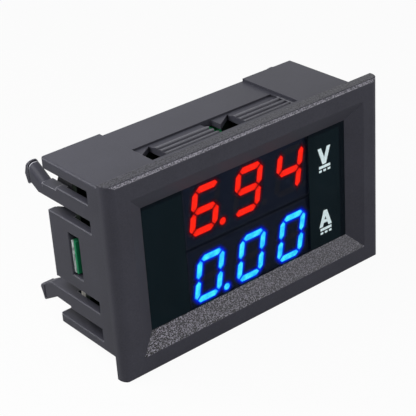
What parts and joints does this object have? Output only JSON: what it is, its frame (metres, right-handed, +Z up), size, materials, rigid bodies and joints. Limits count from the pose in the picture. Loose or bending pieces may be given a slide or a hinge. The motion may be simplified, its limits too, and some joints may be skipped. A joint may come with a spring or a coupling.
{
  "type": "panel voltage and current meter",
  "caption": "Snap-in panel meter module that shows voltage in red and current in blue digits behind a tinted window, in a dark grey moulded housing with spring arms.",
  "frame": {"origin": "centre of the bezel's rear face, in the plane of the panel's front face", "axes": "+X to the right as seen from the front, +Y rearwards through the panel, +Z up"},
  "size_m": [0.048, 0.0216, 0.029],
  "materials": {
    "grey_moulding": "fine grained dark grey moulding",
    "tinted_window": "dark tinted clear sheet",
    "green_board": "green solder mask on glass fibre",
    "display_case": "black display case",
    "lit_red": "lit red segments",
    "lit_blue": "lit blue segments",
    "unlit_segment": "unlit diffusing segments",
    "tinned_metal": "tin plated leads",
    "header_nylon": "natural nylon",
    "shunt_alloy": "drawn resistance alloy",
    "trimmer_base": "blue trimmer base",
    "trimmer_rotor": "plated rotor with a cross slot",
    "chip_plastic": "black chip moulding",
    "capacitor_can": "black sleeve round an aluminium can",
    "ceramic": "fired ceramic",
    "solder": "bright solder"
  },
  "bodies": {
    "meter": {"housing": "grey_moulding", "window": "tinted_window", "circuit_board": "green_board", "upper_display": "display_case", "upper_lit_segments": "lit_red", "upper_dark_segments": "unlit_segment", "upper_display_pins": "tinned_metal", "lower_display": "display_case", "lower_lit_segments": "lit_blue", "lower_dark_segments": "unlit_segment", "lower_display_pins": "tinned_metal", "signal_header": "header_nylon", "signal_pins": "tinned_metal", "current_header": "header_nylon", "current_pins": "tinned_metal", "current_shunt": "shunt_alloy", "voltage_trimmer": "trimmer_base", "current_trimmer": "trimmer_base", "trimmer_terminals": "tinned_metal", "microcontroller": "chip_plastic", "microcontroller_leads": "tinned_metal", "amplifier_chip": "chip_plastic", "amplifier_leads": "tinned_metal", "voltage_regulator": "chip_plastic", "regulator_leads": "tinned_metal", "protection_diode": "chip_plastic", "diode_leads": "tinned_metal", "capacitor_base": "chip_plastic", "storage_capacitor": "capacitor_can", "ceramic_capacitors": "ceramic", "chip_resistors": "chip_plastic", "chip_end_caps": "tinned_metal", "solder_joints": "solder"},
    "voltage_rotor": {"voltage_trimmer_rotor": "trimmer_rotor"},
    "current_rotor": {"current_trimmer_rotor": "trimmer_rotor"}
  },
  "joints": [
    {"name": "voltage_trim", "type": "hinge", "parent": "meter", "child": "voltage_rotor", "pos_m": [-0.0052, 0.01115, 0.0048], "axis": [0, 1, 0], "range_deg": [-120, 120]},
    {"name": "current_trim", "type": "hinge", "parent": "meter", "child": "current_rotor", "pos_m": [0.0052, 0.01115, 0.0048], "axis": [0, 1, 0], "range_deg": [-120, 120]}
  ]
}
